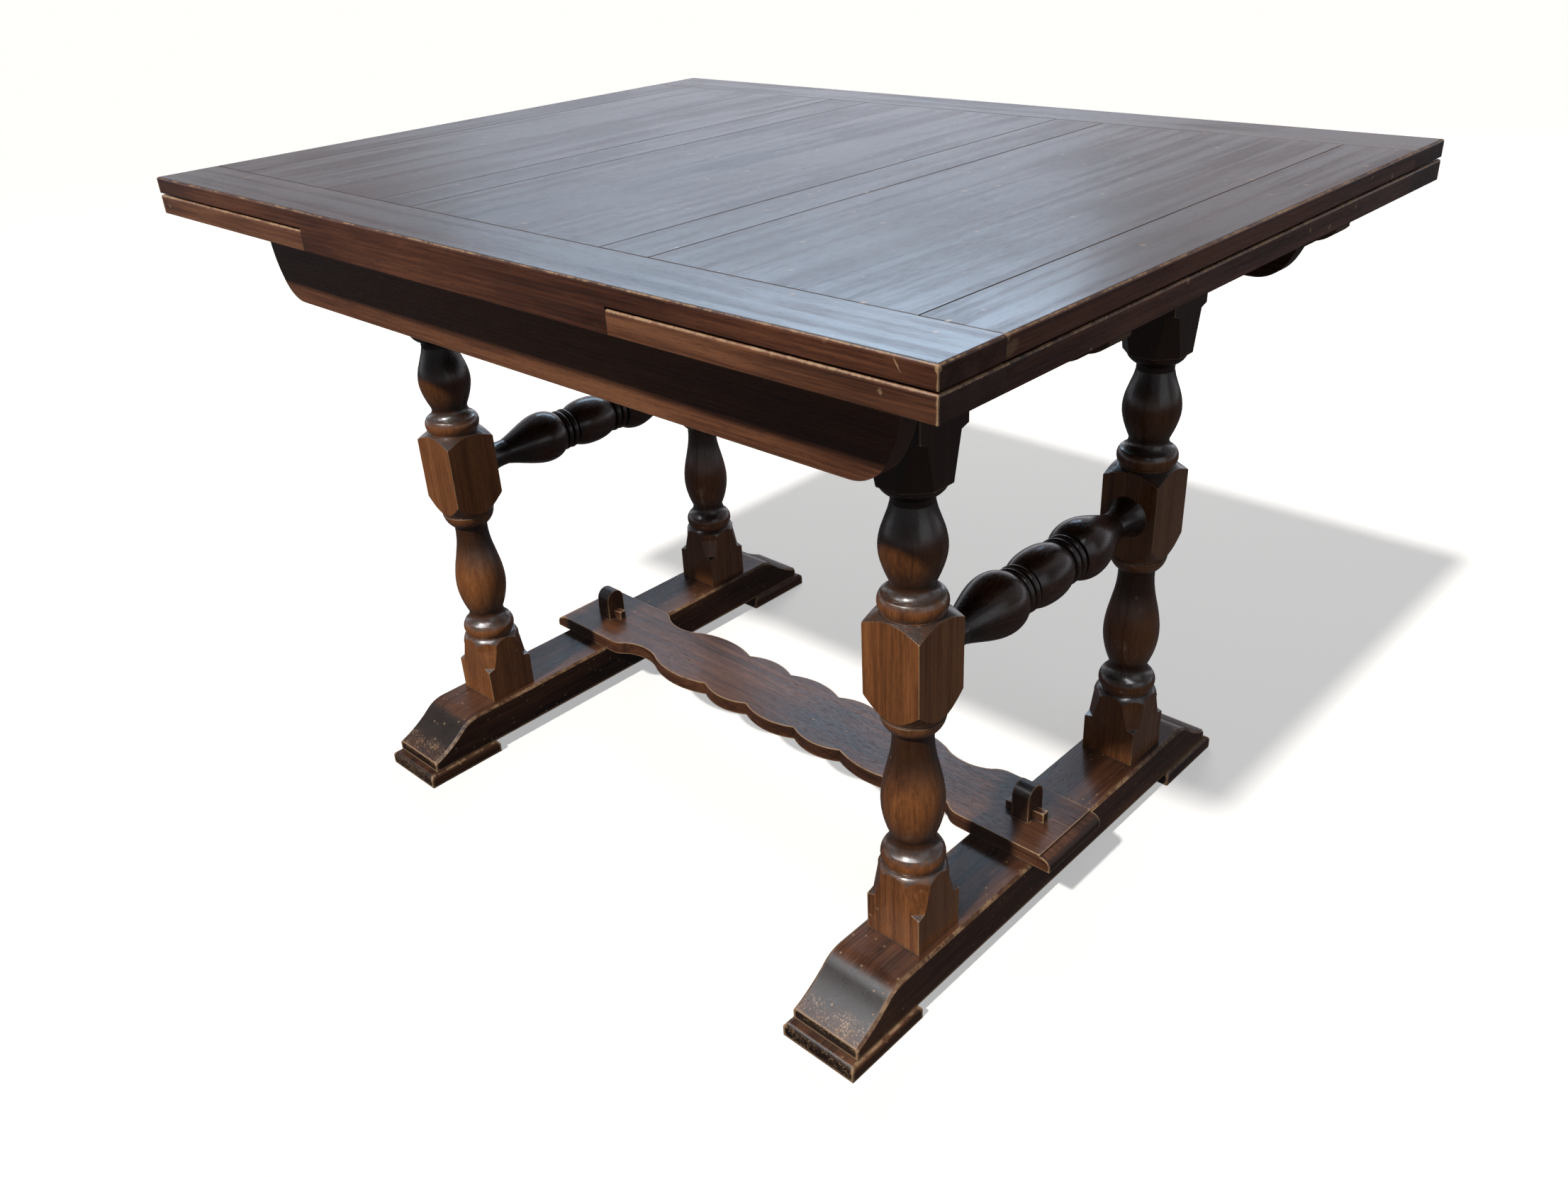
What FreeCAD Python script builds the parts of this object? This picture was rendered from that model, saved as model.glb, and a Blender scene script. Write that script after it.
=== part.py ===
# Draw-leaf table: two turned trestles carry a frame, two leaves draw out from under a loose top.
# Millimetres, +Z up, +X along the way the leaves draw, origin on the floor under the middle.
import FreeCAD, Part
import math
import os

# Overall size
table_length = 1076.0
table_width = 813.0
table_height = 762.0

# Fits and small edges
sliding_clearance = 0.3
peg_clearance = 0.3
overrun = 8.0
arris = 0.8
outer_round = 2.5
same_place = 1e-6

# Main top
top_thickness = 17.0
border_width = 70.0
muntin_width = 60.0
muntin_inset = 368.0
guide_peg_radius = 11.0
guide_peg_gap = 32.0
guide_peg_seat = 9.0
guide_peg_tip = 10.0
keeper_pin_radius = 4.0
keeper_pin_length = 46.0
top_lift = 22.0

# Draw leaves and their lopers
leaf_width = 310.0
leaf_thickness = 20.0
leaf_gap = 2.0
leaf_border_width = 70.0
loper_width = 30.0
loper_depth = 24.0
loper_leg_offset = 14.0
loper_gap = 7.0
loper_setback = 3.0
loper_nose = 36.0
loper_lip = 5.0
loper_tail_gap = 22.0
loper_relief = 1.0
stop_peg_radius = 6.0
stop_peg_drop = 14.0
stop_peg_seat = 12.0

# Aprons, head rails and the blocks behind them
apron_inset = 85.0
apron_depth = 97.0
apron_thickness = 20.0
apron_setback = 1.5
apron_round = 16.0
apron_round_rise = 74.0
apron_knee_rise = 19.0
apron_thumb = 35.0
head_rail_thickness = 30.0
head_rail_shoulder = 14.0
head_rail_sweep = 20.0
corner_block_size = 42.0
corner_block_height = 64.0
glue_block_length = 70.0
glue_block_width = 20.0
glue_block_depth = 26.0
glue_block_inset = 88.0

# Trestles
trestle_inset = 179.0
leg_inset = 202.5
leg_width = 66.0
base_block_height = 73.0
middle_block_height = 74.5
head_block_height = 130.0
base_chamfer_height = 28.0
head_chamfer_height = 48.0
tongue_height = 3.0
tongue_cut = 10.0
cross_stretcher_rise = 33.0

# Feet and pads
foot_inset = 63.5
foot_width = 84.0
foot_chamfer = 3.0
foot_height = 51.0
foot_toe_height = 14.0
foot_toe_run = 72.0
pad_length = 108.0
pad_thickness = 17.0
pad_side_margin = 4.0
pad_end_margin = 12.0
pad_round = 6.0

# Floor stretcher with its pegs and wedges
stretcher_overhang = 64.0
stretcher_thickness = 18.0
stretcher_end_width = 102.0
stretcher_waist_width = 68.0
stretcher_swell_width = 106.0
stretcher_cusp_width = 86.0
stretcher_moulding = 13.0
stretcher_moulding_step = 2.5
stretcher_moulding_depth = 11.5
tusk_width = 28.0
tusk_thickness = 22.0
tusk_height = 42.0
tusk_seat = 24.0
wedge_length = 50.0
wedge_width = 9.0
wedge_thick_end = 13.0
wedge_thin_end = 9.0

# Turned outlines: radius as a share of the leg's width, height as a share of the turning's length
lower_turning_share = 0.6075
block_radius_share = 0.72
base_ring_share = 0.064
base_facet_share = 0.735
head_facet_share = 0.707
lower_turning_shares = (
    ((0.56, 0.0), (0.535, 0.037), (0.475, 0.063)),
    ((0.45, 0.066), (0.45, 0.076)),
    ((0.465, 0.078), (0.497, 0.11), (0.46, 0.15)),
    ((0.45, 0.155), (0.36, 0.188), (0.335, 0.222)),
    ((0.345, 0.232), (0.409, 0.284), (0.482, 0.415), (0.43, 0.55), (0.345, 0.665), (0.31, 0.755)),
    ((0.31, 0.80),),
    ((0.33, 0.807), (0.445, 0.848), (0.487, 0.89)),
    ((0.465, 0.892), (0.465, 0.903)),
    ((0.49, 0.905), (0.72, 1.0)),
)
upper_turning_shares = (
    ((0.72, 0.0), (0.475, 0.08)),
    ((0.45, 0.083), (0.45, 0.095)),
    ((0.46, 0.098), (0.497, 0.15), (0.46, 0.21)),
    ((0.45, 0.215), (0.355, 0.25), (0.325, 0.295)),
    ((0.335, 0.315), (0.40, 0.39), (0.471, 0.54), (0.43, 0.67), (0.34, 0.79), (0.302, 0.858)),
    ((0.302, 0.90),),
    ((0.33, 0.915), (0.42, 0.945), (0.468, 0.98)),
    ((0.468, 1.0),),
)
# Half of the cross stretcher, from its middle to the leg: shares of leg width and of half its length
cross_barrel_shares = ((0.465, 0.0), (0.445, 0.09), (0.365, 0.178))
cross_half_shares = (
    ((0.325, 0.18), (0.325, 0.192)),
    ((0.355, 0.194), (0.40, 0.215), (0.355, 0.236)),
    ((0.325, 0.238), (0.325, 0.25)),
    ((0.355, 0.252), (0.40, 0.273), (0.355, 0.294)),
    ((0.325, 0.296), (0.325, 0.308)),
    ((0.39, 0.31), (0.475, 0.37), (0.50, 0.44), (0.445, 0.56), (0.32, 0.70), (0.24, 0.80)),
    ((0.24, 0.83), (0.275, 0.93), (0.36, 1.0)),
)
# Where a foot's toe turns from hollow to swell: shares of its run and of the foot's height
foot_turn_run_share = 0.64
foot_turn_rise_share = 0.81
# Floor stretcher's side, from the end to the middle: shares of half its length
stretcher_end_share = 0.71
stretcher_neck_shares = (0.685, 0.665)
stretcher_waist_shares = (0.60, 0.51)
stretcher_swell_shares = (0.385, 0.28)
stretcher_scallop_shares = (0.19, 0.10)
# Where a round passes between its two ends
round_share = 0.293

# Levels, worked out from the floor and from the top
foot_top = pad_thickness + foot_height
stretcher_top = foot_top + stretcher_thickness
top_bottom = table_height - top_thickness
leaf_top = top_bottom - leaf_gap
leaf_bottom = leaf_top - leaf_thickness
board_bottom = leaf_bottom + sliding_clearance
frame_top = leaf_bottom - sliding_clearance
apron_bottom = leaf_bottom - apron_depth
loper_bottom = leaf_bottom - loper_depth
head_top = loper_bottom - sliding_clearance
slot_floor = apron_bottom + head_rail_shoulder
turned_length = head_top - foot_top - base_block_height - middle_block_height - head_block_height
lower_turning = turned_length * lower_turning_share
upper_turning = turned_length - lower_turning
base_block_top = foot_top + base_block_height
middle_block_bottom = base_block_top + lower_turning
middle_block_top = middle_block_bottom + middle_block_height
head_block_bottom = middle_block_top + upper_turning
cross_stretcher_level = middle_block_bottom + cross_stretcher_rise

# Places, worked out from the middle
half_length = table_length / 2
half_width = table_width / 2
leaf_inner = half_length - leaf_width
leaf_draw = leaf_width
seat_half = leaf_inner - sliding_clearance
muntin_x = half_length - muntin_inset
frame_half_width = half_width - border_width - apron_setback
apron_inner = frame_half_width - apron_thickness
trestle_x = half_length - trestle_inset
leg_y = half_width - leg_inset
foot_half = half_width - foot_inset
apron_half = half_length - apron_inset
stretcher_half = trestle_x + stretcher_overhang
head_rail_face = trestle_x - head_rail_thickness / 2
outer_loper_y = leg_y - loper_leg_offset
inner_loper_y = outer_loper_y - loper_width - loper_gap
guide_peg_y = inner_loper_y - loper_width / 2 - guide_peg_gap - guide_peg_radius
keeper_level = board_bottom - top_lift - peg_clearance - keeper_pin_radius

ends = (("left", -1), ("right", 1))
sides = (("front", -1), ("back", 1))
# Each leaf: name, direction, distance of its lopers from the middle, face that stops its pegs
leaves = (
    ("left", -1, inner_loper_y, head_rail_face),
    ("right", 1, outer_loper_y, trestle_x - leg_width / 2),
)

axis_up = FreeCAD.Vector(0, 0, 1)
axis_x = FreeCAD.Vector(1, 0, 0)
origin = FreeCAD.Vector(0, 0, 0)
full_turn = 360
quarter_turn = 90


def save(name, shape):
    """Write one piece to its own file."""
    shape.exportStep(os.path.join("parts", name + ".step"))


def span(start, end):
    """A range in rising order, for pieces that are mirrored."""
    return min(start, end), max(start, end)


def block(x_range, y_range, z_range):
    """A plain box between three ranges."""
    low = FreeCAD.Vector(x_range[0], y_range[0], z_range[0])
    high = FreeCAD.Vector(x_range[1], y_range[1], z_range[1])
    size = high - low
    return Part.makeBox(size.x, size.y, size.z, low)


def upper_edges(solid):
    """Edges of a solid that lie at its highest level."""
    level = solid.BoundBox.ZMax
    return [edge for edge in solid.Edges if edge.BoundBox.ZMin > level - same_place]


def outermost(edge):
    """Whether an edge lies on an outer side of the table, seen from above."""
    middle = edge.CenterOfMass
    return abs(middle.x) > half_length - same_place or abs(middle.y) > half_width - same_place


def ease_upper_edges(solid):
    """Take the sharp arris off the seams of a board and round its outer edges."""
    seams = [edge for edge in upper_edges(solid) if not outermost(edge)]
    eased = solid.makeChamfer(arris, seams)
    outer = [edge for edge in upper_edges(eased) if outermost(edge)]
    return eased.makeFillet(outer_round, outer) if outer else eased


def board(x_range, y_range, z_range):
    """A flat board with eased upper edges."""
    return ease_upper_edges(block(x_range, y_range, z_range))


def outline_face(stretches, place):
    """A face inside a closed outline: one point is a corner, two a line, three an arc, more a curve."""
    runs = [[place(*point) for point in stretch] for stretch in stretches]
    edges = []
    for number, points in enumerate(runs):
        if len(points) == 2:
            edges.append(Part.LineSegment(*points).toShape())
        elif len(points) == 3:
            edges.append(Part.Arc(*points).toShape())
        elif len(points) > 3:
            curve = Part.BSplineCurve()
            curve.interpolate(points)
            edges.append(curve.toShape())
        following = runs[(number + 1) % len(runs)][0]
        if points[-1].distanceToPoint(following) > same_place:
            edges.append(Part.LineSegment(points[-1], following).toShape())
    return Part.Face(Part.Wire(edges))


def mirrored(stretches):
    """An open outline followed by its mirror image across the second axis."""
    reflection = [[(-first, second) for first, second in reversed(stretch)] for stretch in reversed(stretches)]
    return list(stretches) + reflection


def plate_xz(stretches, y_range):
    """A board cut to an outline seen from the front."""
    face = outline_face(stretches, lambda x, z: FreeCAD.Vector(x, y_range[0], z))
    return face.extrude(FreeCAD.Vector(0, y_range[1] - y_range[0], 0))


def plate_yz(stretches, x_range):
    """A board cut to an outline seen from the end."""
    face = outline_face(stretches, lambda y, z: FreeCAD.Vector(x_range[0], y, z))
    return face.extrude(FreeCAD.Vector(x_range[1] - x_range[0], 0, 0))


def plate_xy(stretches, z_range):
    """A board cut to an outline seen from above."""
    face = outline_face(stretches, lambda x, y: FreeCAD.Vector(x, y, z_range[0]))
    return face.extrude(FreeCAD.Vector(0, 0, z_range[1] - z_range[0]))


def turned(stretches):
    """A solid turned about the upright axis from its outline of radii and heights."""
    start = [(0, stretches[0][0][1])]
    end = [(0, stretches[-1][-1][1])]
    face = outline_face([start] + list(stretches) + [end], lambda radius, z: FreeCAD.Vector(radius, 0, z))
    return face.revolve(origin, axis_up, full_turn)


def sized(stretches, start, length):
    """Turned outline in real sizes, from shares of the leg's width and of a length."""
    return [[(leg_width * radius, start + length * rise) for radius, rise in stretch] for stretch in stretches]


def diamond(reach, level):
    """A square wire standing on its corner, as far along X and Y as its reach."""
    corners = [(reach, 0), (0, reach), (-reach, 0), (0, -reach), (reach, 0)]
    return Part.makePolygon([FreeCAD.Vector(x, y, level) for x, y in corners])


def corner_waste(levels):
    """What a block loses at its corners, where a diamond section narrows from level to level."""
    half = leg_width / 2 + overrun
    stock = block((-half, half), (-half, half), span(levels[0][0], levels[-1][0]))
    return stock.cut(Part.makeLoft([diamond(reach, level) for level, reach in levels], True, True))


def base_corners():
    """Tapered corner facets of the base block, ending low down in lamb's tongues."""
    stop = base_block_top - base_chamfer_height
    octagon = leg_width * base_facet_share
    return corner_waste((
        (stop - tongue_height, leg_width + tongue_cut),
        (stop + tongue_height, leg_width - tongue_cut),
        (base_block_top, octagon),
        (base_block_top + lower_turning * base_ring_share, octagon),
    ))


def head_corners():
    """Tapered corner facets of the head block, ending high up in lamb's tongues."""
    stop = head_block_bottom + head_chamfer_height
    octagon = leg_width * head_facet_share
    return corner_waste((
        (head_block_bottom - overrun, octagon),
        (head_block_bottom, octagon),
        (stop - tongue_height, leg_width - tongue_cut),
        (stop + tongue_height, leg_width + tongue_cut),
    ))


def make_leg():
    """One leg about the upright axis: square stock, turned between its three blocks."""
    stock_radius = leg_width * block_radius_share
    turning = [[(stock_radius, foot_top), (stock_radius, base_block_top)]]
    turning += sized(lower_turning_shares, base_block_top, lower_turning)
    turning += sized(upper_turning_shares, middle_block_top, upper_turning)
    turning += [[(stock_radius, head_block_bottom), (stock_radius, head_top)]]
    half = leg_width / 2
    stock = block((-half, half), (-half, half), (foot_top, head_top))
    slot_half = head_rail_thickness / 2
    slot = block((-slot_half, slot_half), (-leg_width, leg_width), (slot_floor, head_top + overrun))
    leg = stock.common(turned(turning))
    return leg.cut(base_corners()).cut(head_corners()).cut(slot)


def make_cross_stretcher():
    """Turned stretcher along Y between the middle blocks of one trestle."""
    half = leg_y - leg_width / 2
    outer = sized(cross_half_shares, 0, half)
    barrel = sized([cross_barrel_shares], 0, half)[0]
    lower = [[(radius, -rise) for radius, rise in reversed(stretch)] for stretch in reversed(outer)]
    whole_barrel = [(radius, -rise) for radius, rise in reversed(barrel[1:])] + barrel
    stretcher = turned(lower + [whole_barrel] + outer)
    stretcher.rotate(origin, axis_x, quarter_turn)
    return stretcher


def leaving_arc(start, heading, end):
    """Three points of an arc that leaves its start along a heading, and its heading at the end."""
    run = end[0] - start[0]
    rise = end[1] - start[1]
    swing = math.remainder(math.atan2(rise, run) - heading, math.tau)
    reach = math.hypot(run, rise) / (2 * math.cos(swing / 2))
    middle_heading = heading + swing / 2
    middle = (start[0] + reach * math.cos(middle_heading), start[1] + reach * math.sin(middle_heading))
    return [start, middle, end], heading + 2 * swing


def make_foot():
    """Sledge foot along Y: ogee toes, chamfered upper edges and a mortise for the upright peg."""
    toe = -foot_half
    nose_top = pad_thickness + foot_toe_height
    shoulder = (toe + foot_toe_run, foot_top)
    turn = (toe + foot_toe_run * foot_turn_run_share, pad_thickness + foot_height * foot_turn_rise_share)
    swell, slope = leaving_arc(shoulder, math.pi, turn)
    hollow, _ = leaving_arc(turn, slope, (toe, nose_top))
    half_outline = [[(toe, pad_thickness)], hollow[::-1], swell[::-1]]
    half = foot_width / 2
    foot = plate_yz(mirrored(half_outline), (-half, half))
    long_edges = [
        edge
        for edge in foot.Edges
        if abs(edge.CenterOfMass.x) > half - same_place and edge.BoundBox.ZMin > nose_top - same_place
    ]
    foot = foot.makeChamfer(foot_chamfer, long_edges)
    return foot.cut(tusk_mortise(foot_top - tusk_seat, foot_top + overrun))


def make_pad():
    """Moulded pad under one end of a foot, centred on its own middle."""
    half_x = foot_width / 2 + pad_side_margin
    half_y = pad_length / 2
    pad = block((-half_x, half_x), (-half_y, half_y), (0, pad_thickness))
    return pad.makeFillet(pad_round, upper_edges(pad))


def tusk_mortise(low, high):
    """Hole for an upright peg."""
    half_x = tusk_thickness / 2
    half_y = tusk_width / 2
    return block((-half_x, half_x), (-half_y, half_y), (low, high))


def make_wedge():
    """Wedge along X that lies on the floor stretcher and passes through the upright peg."""
    half = wedge_length / 2
    corners = [
        [(-half, stretcher_top)],
        [(half, stretcher_top)],
        [(half, stretcher_top + wedge_thick_end)],
        [(-half, stretcher_top + wedge_thin_end)],
    ]
    return plate_xz(corners, (-wedge_width / 2, wedge_width / 2))


def make_tusk():
    """Upright peg with a round head, slotted for its wedge."""
    half_y = tusk_width / 2
    half_x = tusk_thickness / 2
    bottom = foot_top - tusk_seat
    crown = stretcher_top + tusk_height
    spring = crown - half_y
    outline = [
        [(-half_y, bottom)],
        [(half_y, bottom)],
        [(half_y, spring), (0, crown), (-half_y, spring)],
    ]
    return plate_yz(outline, (-half_x, half_x)).cut(make_wedge())


def stretcher_side():
    """One long side of the floor stretcher, from its right end to its left one."""
    half = stretcher_half
    end = stretcher_end_width / 2
    waist = stretcher_waist_width / 2
    swell = stretcher_swell_width / 2
    cusp = stretcher_cusp_width / 2
    neck = (end + waist) / 2
    flank = (swell + waist) / 2
    outer_neck, inner_neck = [half * share for share in stretcher_neck_shares]
    waist_middle, waist_end = [half * share for share in stretcher_waist_shares]
    swell_middle, swell_end = [half * share for share in stretcher_swell_shares]
    scallop_middle, scallop_end = [half * share for share in stretcher_scallop_shares]
    right = [
        [(half, end)],
        [(half * stretcher_end_share, end), (outer_neck, end - (end - neck) * round_share), (inner_neck, neck)],
        [(inner_neck, neck), (waist_middle, waist), (waist_end, flank)],
        [(waist_end, flank), (swell_middle, swell), (swell_end, cusp)],
        [(swell_end, cusp), (scallop_middle, swell), (scallop_end, cusp)],
    ]
    middle = [[(scallop_end, cusp), (0, swell), (-scallop_end, cusp)]]
    left = [[(-x, y) for x, y in reversed(stretch)] for stretch in reversed(right)]
    return right + middle + left


def stretcher_end_waste():
    """Moulding cut on the right end of the floor stretcher: a small step and a quarter round."""
    half = stretcher_half
    inner = half - stretcher_moulding
    step = stretcher_top - stretcher_moulding_step
    low = stretcher_top - stretcher_moulding_depth
    bulge = (half - stretcher_moulding * round_share, step - (step - low) * round_share)
    corners = [
        [(inner, stretcher_top + overrun)],
        [(inner, step), bulge, (half, low)],
        [(half + overrun, low)],
        [(half + overrun, stretcher_top + overrun)],
    ]
    return plate_xz(corners, (-stretcher_end_width, stretcher_end_width))


def make_floor_stretcher():
    """Flat board along X on the two feet, with T-shaped moulded ends and scalloped sides."""
    back = stretcher_side()
    front = [[(-x, -y) for x, y in stretch] for stretch in back]
    plank = plate_xy(back + front, (foot_top, stretcher_top))
    waste = stretcher_end_waste()
    plank = plank.cut(waste).cut(waste.mirror(origin, axis_x))
    for _, end in ends:
        mortise = tusk_mortise(foot_top - overrun, stretcher_top + overrun)
        mortise.translate(FreeCAD.Vector(end * trestle_x, 0, 0))
        plank = plank.cut(mortise)
    return plank


def make_apron(y_range):
    """Apron along X: raised seat for the centre board, ends swept round to the lower edge."""
    half = apron_half
    knee = (half - apron_round, apron_bottom + apron_knee_rise)
    toe = (knee[0] - apron_thumb, apron_bottom)
    upper_round, _ = leaving_arc((half, apron_bottom + apron_round_rise), -math.pi / 2, knee)
    thumb, _ = leaving_arc(toe, 0, knee)
    right = [
        [(seat_half, board_bottom)],
        [(seat_half, frame_top)],
        [(half, frame_top)],
        upper_round,
        thumb[::-1],
    ]
    return plate_xz(mirrored(right), y_range)


def head_rail_lower_edge():
    """Lower edge of a head rail, from the apron in to the middle."""
    outer_face = leg_y + leg_width / 2
    inner_face = leg_y - leg_width / 2
    middle = (apron_inner + outer_face) / 2
    rise = slot_floor + head_rail_sweep
    half_rise = slot_floor + head_rail_sweep / 2
    bulge = (apron_inner - outer_face) * round_share / 2
    return [
        [
            (apron_inner, rise),
            (middle + bulge, rise - head_rail_sweep * round_share / 2),
            (middle, half_rise),
        ],
        [
            (middle, half_rise),
            (middle - bulge, slot_floor + head_rail_sweep * round_share / 2),
            (outer_face, slot_floor),
        ],
        [(inner_face, slot_floor)],
        [(inner_face, apron_bottom)],
    ]


def make_head_rail(end, loper_y):
    """Cross rail let into the leg heads, with an open notch for each loper."""
    half_notch = loper_width / 2 + sliding_clearance
    right = [
        [(loper_y - half_notch, frame_top)],
        [(loper_y - half_notch, head_top)],
        [(loper_y + half_notch, head_top)],
        [(loper_y + half_notch, frame_top)],
        [(apron_inner, frame_top)],
    ] + head_rail_lower_edge()
    face_x = end * trestle_x
    return plate_yz(mirrored(right), (face_x - head_rail_thickness / 2, face_x + head_rail_thickness / 2))


def make_centre_board():
    """Fixed board between the leaves, seated on the aprons, bored for the guide pegs."""
    top = block((-seat_half, seat_half), (-frame_half_width, frame_half_width), (board_bottom, top_bottom))
    radius = guide_peg_radius + peg_clearance
    for _, side in sides:
        start = FreeCAD.Vector(0, side * guide_peg_y, board_bottom - overrun)
        top = top.cut(Part.makeCylinder(radius, top_bottom - board_bottom + 2 * overrun, start))
    return top


def make_corner_block(end, side):
    """Three-cornered block glued between an apron and the inner face of a head rail."""
    corner_x = end * head_rail_face
    corner_y = side * apron_inner
    outline = [
        [(corner_x, corner_y)],
        [(corner_x - end * corner_block_size, corner_y)],
        [(corner_x, corner_y - side * corner_block_size)],
    ]
    return plate_xy(outline, (frame_top - corner_block_height, frame_top))


def make_glue_block(end, side):
    """Small block in the corner between an apron and the centre board."""
    middle = end * (seat_half - glue_block_inset)
    x_range = (middle - glue_block_length / 2, middle + glue_block_length / 2)
    y_range = span(side * apron_inner, side * (apron_inner - glue_block_width))
    return block(x_range, y_range, (board_bottom - glue_block_depth, board_bottom))


def make_top_rail(side):
    """Border rail along X: deep between the leaves and thin above them."""
    right = [
        [(seat_half, leaf_bottom)],
        [(seat_half, top_bottom)],
        [(half_length, top_bottom)],
        [(half_length, table_height)],
    ]
    left = [[(-x, z) for x, z in stretch] for stretch in reversed(right)]
    y_range = span(side * half_width, side * (half_width - border_width))
    return ease_upper_edges(plate_xz(right + left, y_range))


def top_field(x_range):
    """Piece of the main top between its front and back rails."""
    inner = half_width - border_width
    return board(x_range, (-inner, inner), (top_bottom, table_height))


def make_middle_panel():
    """Middle panel of the main top, with blind holes for the guide pegs."""
    edge = muntin_x - muntin_width / 2
    panel = top_field((-edge, edge))
    for _, side in sides:
        start = FreeCAD.Vector(0, side * guide_peg_y, top_bottom - overrun)
        panel = panel.cut(Part.makeCylinder(guide_peg_radius, guide_peg_seat + overrun, start))
    return panel


def make_keeper_pin(side):
    """Pin through a guide peg, below the centre board, that limits the lift."""
    start = FreeCAD.Vector(-keeper_pin_length / 2, side * guide_peg_y, keeper_level)
    return Part.makeCylinder(keeper_pin_radius, keeper_pin_length, start, axis_x)


def make_guide_peg(side):
    """Peg that keeps the loose top in place over the centre board."""
    bottom = keeper_level - keeper_pin_radius - guide_peg_tip
    start = FreeCAD.Vector(0, side * guide_peg_y, bottom)
    peg = Part.makeCylinder(guide_peg_radius, top_bottom + guide_peg_seat - bottom, start)
    return peg.cut(make_keeper_pin(side))


def leaf_board(end, x_near, x_far, y_range):
    """Piece of a leaf between two distances from the table's middle."""
    return board(span(end * x_near, end * x_far), y_range, (leaf_bottom, leaf_top))


def stop_peg_place(end, loper_y, stop_face):
    """Middle of a stop peg, so that it meets its stop face when the leaf is fully drawn."""
    return end * (stop_face - leaf_draw - stop_peg_radius - peg_clearance), loper_y


def make_stop_peg(x, y):
    """Peg standing out below a loper."""
    start = FreeCAD.Vector(x, y, loper_bottom - stop_peg_drop)
    return Part.makeCylinder(stop_peg_radius, stop_peg_drop + stop_peg_seat, start)


def make_loper(end, loper_y, stop_peg):
    """Bearer under a leaf: ogee nose at the leaf's outer edge, a relieved and bevelled tail."""
    outer = half_length - loper_setback
    tail = head_rail_face - loper_tail_gap
    lip = leaf_bottom - loper_lip
    middle = (outer - loper_nose / 2, (lip + loper_bottom) / 2)
    quarter = loper_nose / 4
    sag = (lip - loper_bottom) * round_share / 2
    outline = [
        [(-tail, leaf_bottom - loper_relief)],
        [(leaf_inner, leaf_bottom - loper_relief)],
        [(leaf_inner, leaf_bottom)],
        [(outer, leaf_bottom)],
        [(outer, lip), (outer - quarter, middle[1] + sag), middle],
        [middle, (middle[0] - quarter, loper_bottom + sag), (outer - loper_nose, loper_bottom)],
        [(loper_depth / 2 - tail, loper_bottom)],
        [(-tail, leaf_bottom - loper_depth / 2)],
    ]
    placed = [[(end * x, z) for x, z in stretch] for stretch in outline]
    loper = plate_xz(placed, (loper_y - loper_width / 2, loper_y + loper_width / 2))
    return loper.cut(stop_peg)


def save_trestles():
    """Feet, pads, legs, cross stretchers and head rails."""
    leg = make_leg()
    foot = make_foot()
    pad = make_pad()
    stretcher = make_cross_stretcher()
    pad_y = foot_half + pad_end_margin - pad_length / 2
    for end_name, end in ends:
        x = end * trestle_x
        save("foot_" + end_name, foot.translated(FreeCAD.Vector(x, 0, 0)))
        save("cross_stretcher_" + end_name, stretcher.translated(FreeCAD.Vector(x, 0, cross_stretcher_level)))
        for side_name, side in sides:
            place = "_" + end_name + "_" + side_name
            save("foot_pad" + place, pad.translated(FreeCAD.Vector(x, side * pad_y, 0)))
            save("leg" + place, leg.translated(FreeCAD.Vector(x, side * leg_y, 0)))


def save_floor_stretcher():
    """Floor stretcher, its pegs and their wedges."""
    save("floor_stretcher", make_floor_stretcher())
    for end_name, end in ends:
        shift = FreeCAD.Vector(end * trestle_x, 0, 0)
        save("tusk_peg_" + end_name, make_tusk().translated(shift))
        save("tusk_wedge_" + end_name, make_wedge().translated(shift))


def save_frame():
    """Aprons, centre board, head rails and the blocks behind them."""
    save("centre_board", make_centre_board())
    for side_name, side in sides:
        save("apron_" + side_name, make_apron(span(side * apron_inner, side * frame_half_width)))
    for end_name, end, loper_y, _ in leaves:
        save("head_rail_" + end_name, make_head_rail(end, loper_y))
        for side_name, side in sides:
            place = "_" + end_name + "_" + side_name
            save("corner_block" + place, make_corner_block(end, side))
            save("glue_block" + place, make_glue_block(end, side))


def save_main_top():
    """Rails, cleats, muntins and panels of the top, with the pegs that guide it."""
    cleat_inner = half_length - border_width
    muntin_outer = muntin_x + muntin_width / 2
    muntin_inner = muntin_x - muntin_width / 2
    for end_name, end in ends:
        save("top_cleat_" + end_name, top_field(span(end * half_length, end * cleat_inner)))
        save("top_panel_" + end_name, top_field(span(end * cleat_inner, end * muntin_outer)))
        save("top_muntin_" + end_name, top_field(span(end * muntin_outer, end * muntin_inner)))
    save("top_panel_middle", make_middle_panel())
    for side_name, side in sides:
        save("top_rail_" + side_name, make_top_rail(side))
        save("guide_peg_" + side_name, make_guide_peg(side))
        save("keeper_pin_" + side_name, make_keeper_pin(side))


def save_leaf(end_name, end, loper_y, stop_face):
    """One draw leaf: framed board, lopers and stop pegs."""
    name = "leaf_" + end_name
    inner = half_width - leaf_border_width
    border = half_length - leaf_border_width
    save(name + "_panel", leaf_board(end, leaf_inner, border, (-inner, inner)))
    save(name + "_border_outer", leaf_board(end, border, half_length, (-inner, inner)))
    for side_name, side in sides:
        y_range = span(side * inner, side * half_width)
        save(name + "_border_" + side_name, leaf_board(end, leaf_inner, half_length, y_range))
        peg = make_stop_peg(*stop_peg_place(end, side * loper_y, stop_face))
        save(name + "_stop_peg_" + side_name, peg)
        save(name + "_loper_" + side_name, make_loper(end, side * loper_y, peg))


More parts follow.
